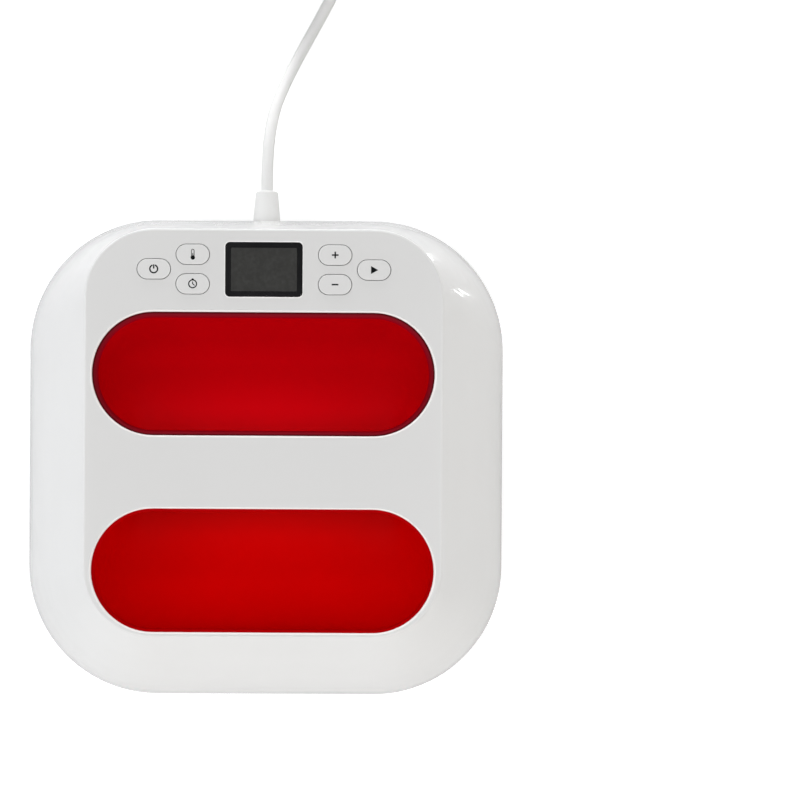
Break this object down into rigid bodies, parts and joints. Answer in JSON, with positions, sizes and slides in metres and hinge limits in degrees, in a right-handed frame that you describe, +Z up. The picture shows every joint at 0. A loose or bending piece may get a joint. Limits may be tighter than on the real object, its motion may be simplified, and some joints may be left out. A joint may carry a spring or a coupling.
{
  "type": "handheld heat press",
  "caption": "Square handheld heat press: flat heated plate under a domed white case with a bridging grip over a red finger tray, display, press buttons and a coiled mains cord.",
  "frame": {"origin": "centre of the hot plate's underside, on the surface the press stands on", "axes": "+Z up, +Y towards the rear with the controls and the cord, +X to the right seen from above with the controls at the far side"},
  "size_m": [0.25, 0.4912, 0.1064],
  "materials": {
    "shell_white": "smooth glossy moulded white",
    "tray_red": "glossy moulded red",
    "bumper_navy": "satin dark navy moulding",
    "plate_grey": "fine non-stick coated casting",
    "heater_steel": "oxidised steel tube",
    "mica": "pressed mica",
    "felt": "ceramic felt",
    "sheet_steel": "zinc coated sheet",
    "screw_steel": "zinc plated",
    "frame_black": "black heat-resisting moulding",
    "button_white": "smooth glossy moulded white",
    "bezel_black": "glossy black",
    "pane_smoke": "smoked clear pane",
    "lcd_grey": "blank display",
    "board_green": "solder mask",
    "part_black": "moulded electronic parts",
    "part_blue": "relay case",
    "part_yellow": "taped winding",
    "fuse_glass": "glass tube fuse",
    "lead_red": "silicone insulation",
    "lead_brown": "insulated mains cores",
    "lead_grey": "insulation",
    "cord_white": "satin white jacket",
    "blade_brass": "bright pressed brass",
    "tin": "tinned steel"
  },
  "bodies": {
    "housing": {"heat_plate": "plate_grey", "heating_element": "heater_steel", "mica_sheet": "mica", "insulation_blanket": "felt", "plate_spacers": "heater_steel", "heat_shield": "sheet_steel", "plate_bolts": "screw_steel", "thermal_cutoff": "part_black", "temperature_probe": "heater_steel", "base_frame": "frame_black", "shield_screws": "screw_steel", "bumper_ring": "bumper_navy", "case_screws": "screw_steel", "top_shell": "shell_white", "grip_tray": "tray_red", "tray_screws": "screw_steel", "grip_cover": "shell_white", "grip_screws": "screw_steel", "display_bezel": "bezel_black", "display_pane": "pane_smoke", "lcd_module": "lcd_grey", "control_board": "board_green", "tact_switches": "part_black", "buzzer": "part_black", "board_screws": "screw_steel", "power_board": "board_green", "board_standoffs": "screw_steel", "power_board_screws": "screw_steel", "relay": "part_blue", "transformer": "part_yellow", "filter_capacitor": "part_yellow", "line_fuse": "fuse_glass", "terminal_block": "part_black", "mains_leads": "lead_brown", "earth_tag": "tin", "heater_leads": "lead_red", "sensor_lead": "lead_grey", "ribbon_cable": "lead_grey", "strain_relief": "cord_white", "cord_clamp": "frame_black", "clamp_screws": "screw_steel", "power_cord": "cord_white", "cord_coil": "cord_white", "cord_tail": "cord_white", "mains_plug": "cord_white", "plug_blades": "blade_brass"},
    "power_key": {"power_button": "button_white"},
    "temperature_key": {"temperature_button": "button_white"},
    "timer_key": {"timer_button": "button_white"},
    "plus_key": {"plus_button": "button_white"},
    "minus_key": {"minus_button": "button_white"},
    "start_key": {"start_button": "button_white"}
  },
  "joints": [
    {"name": "power_press", "type": "slide", "parent": "housing", "child": "power_key", "axis": [0, 0, -1], "range_m": [0, 0.0006], "stiffness_N_per_m": 1200},
    {"name": "temperature_press", "type": "slide", "parent": "housing", "child": "temperature_key", "axis": [0, 0, -1], "range_m": [0, 0.0006], "stiffness_N_per_m": 1200},
    {"name": "timer_press", "type": "slide", "parent": "housing", "child": "timer_key", "axis": [0, 0, -1], "range_m": [0, 0.0006], "stiffness_N_per_m": 1200},
    {"name": "plus_press", "type": "slide", "parent": "housing", "child": "plus_key", "axis": [0, 0, -1], "range_m": [0, 0.0006], "stiffness_N_per_m": 1200},
    {"name": "minus_press", "type": "slide", "parent": "housing", "child": "minus_key", "axis": [0, 0, -1], "range_m": [0, 0.0006], "stiffness_N_per_m": 1200},
    {"name": "start_press", "type": "slide", "parent": "housing", "child": "start_key", "axis": [0, 0, -1], "range_m": [0, 0.0006], "stiffness_N_per_m": 1200}
  ]
}
